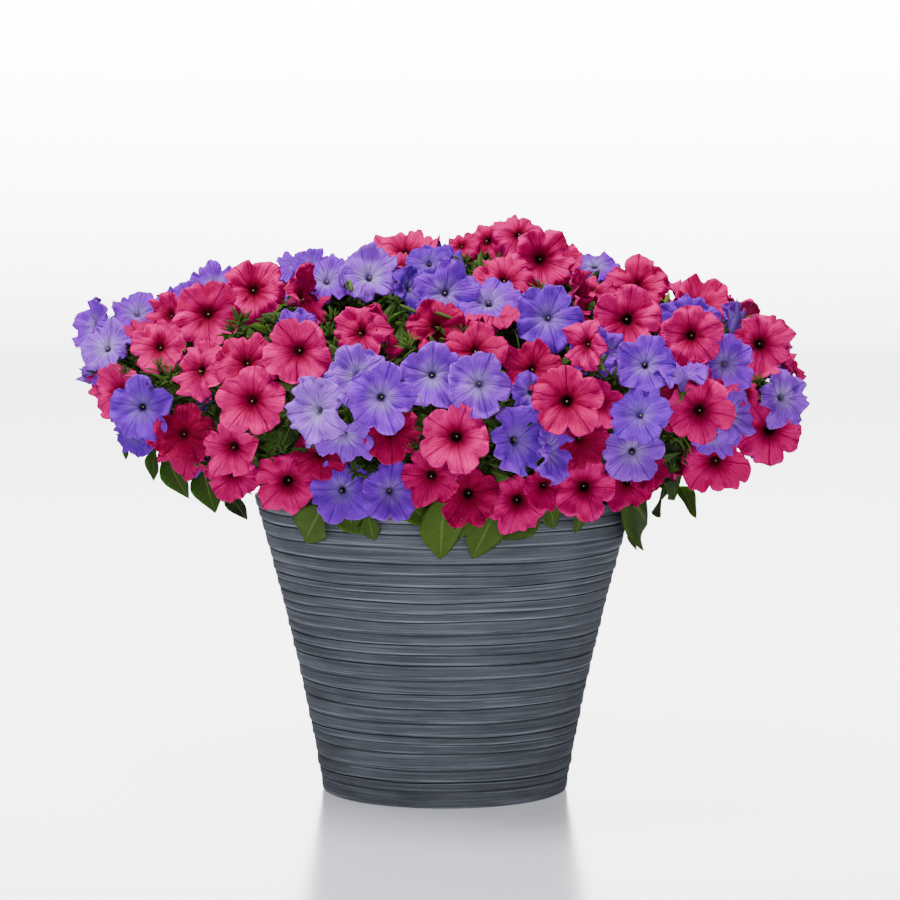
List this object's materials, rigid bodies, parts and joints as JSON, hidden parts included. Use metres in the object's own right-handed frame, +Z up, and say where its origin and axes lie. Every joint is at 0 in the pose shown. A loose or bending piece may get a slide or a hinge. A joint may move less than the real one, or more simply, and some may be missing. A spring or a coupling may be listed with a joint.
{
  "type": "patio pot of trailing petunias",
  "caption": "Round flared patio pot moulded in uneven hoops, planted with a wide mound of hot pink and violet petunias that hangs over the rim.",
  "frame": {"origin": "middle of the pot's flat foot, on the surface that it stands on", "axes": "+Z up along the pot's axis; the side that is looked at faces -Y, with +X to its right"},
  "size_m": [0.6116, 0.6363, 0.489],
  "materials": {
    "pot": "moulded resin in slate grey with darker grooves and faint brushed streaks",
    "potting_mix": null,
    "leaf": null,
    "pink_petal": null,
    "violet_petal": null
  },
  "bodies": {
    "root": {"foliage": "leaf", "petunia_pink_01": "pink_petal", "petunia_pink_02": "pink_petal", "petunia_pink_03": "pink_petal", "petunia_pink_04": "pink_petal", "petunia_pink_05": "pink_petal", "petunia_pink_06": "pink_petal", "petunia_pink_07": "pink_petal", "petunia_pink_08": "pink_petal", "petunia_pink_09": "pink_petal", "petunia_pink_10": "pink_petal", "petunia_pink_11": "pink_petal", "petunia_pink_12": "pink_petal", "petunia_pink_13": "pink_petal", "petunia_pink_14": "pink_petal", "petunia_pink_15": "pink_petal", "petunia_pink_16": "pink_petal", "petunia_pink_17": "pink_petal", "petunia_pink_18": "pink_petal", "petunia_pink_19": "pink_petal", "petunia_pink_20": "pink_petal", "petunia_pink_21": "pink_petal", "petunia_pink_22": "pink_petal", "petunia_pink_23": "pink_petal", "petunia_pink_24": "pink_petal", "petunia_pink_25": "pink_petal", "petunia_pink_26": "pink_petal", "petunia_pink_27": "pink_petal", "petunia_pink_28": "pink_petal", "petunia_pink_29": "pink_petal", "petunia_violet_01": "violet_petal", "petunia_violet_02": "violet_petal", "petunia_violet_03": "violet_petal", "petunia_violet_04": "violet_petal", "petunia_violet_05": "violet_petal", "petunia_violet_06": "violet_petal", "petunia_violet_07": "violet_petal", "petunia_violet_08": "violet_petal", "petunia_violet_09": "violet_petal", "petunia_violet_10": "violet_petal", "petunia_violet_11": "violet_petal", "petunia_violet_12": "violet_petal", "petunia_violet_13": "violet_petal", "petunia_violet_14": "violet_petal", "petunia_violet_15": "violet_petal", "petunia_violet_16": "violet_petal", "petunia_violet_17": "violet_petal", "petunia_violet_18": "violet_petal", "petunia_violet_19": "violet_petal", "petunia_violet_20": "violet_petal", "petunia_violet_21": "violet_petal", "petunia_violet_22": "violet_petal", "petunia_violet_23": "violet_petal", "petunia_violet_24": "violet_petal", "petunia_violet_25": "violet_petal", "petunia_violet_26": "violet_petal", "petunia_violet_27": "violet_petal", "pot": "pot", "potting_mix": "potting_mix"}
  },
  "joints": []
}
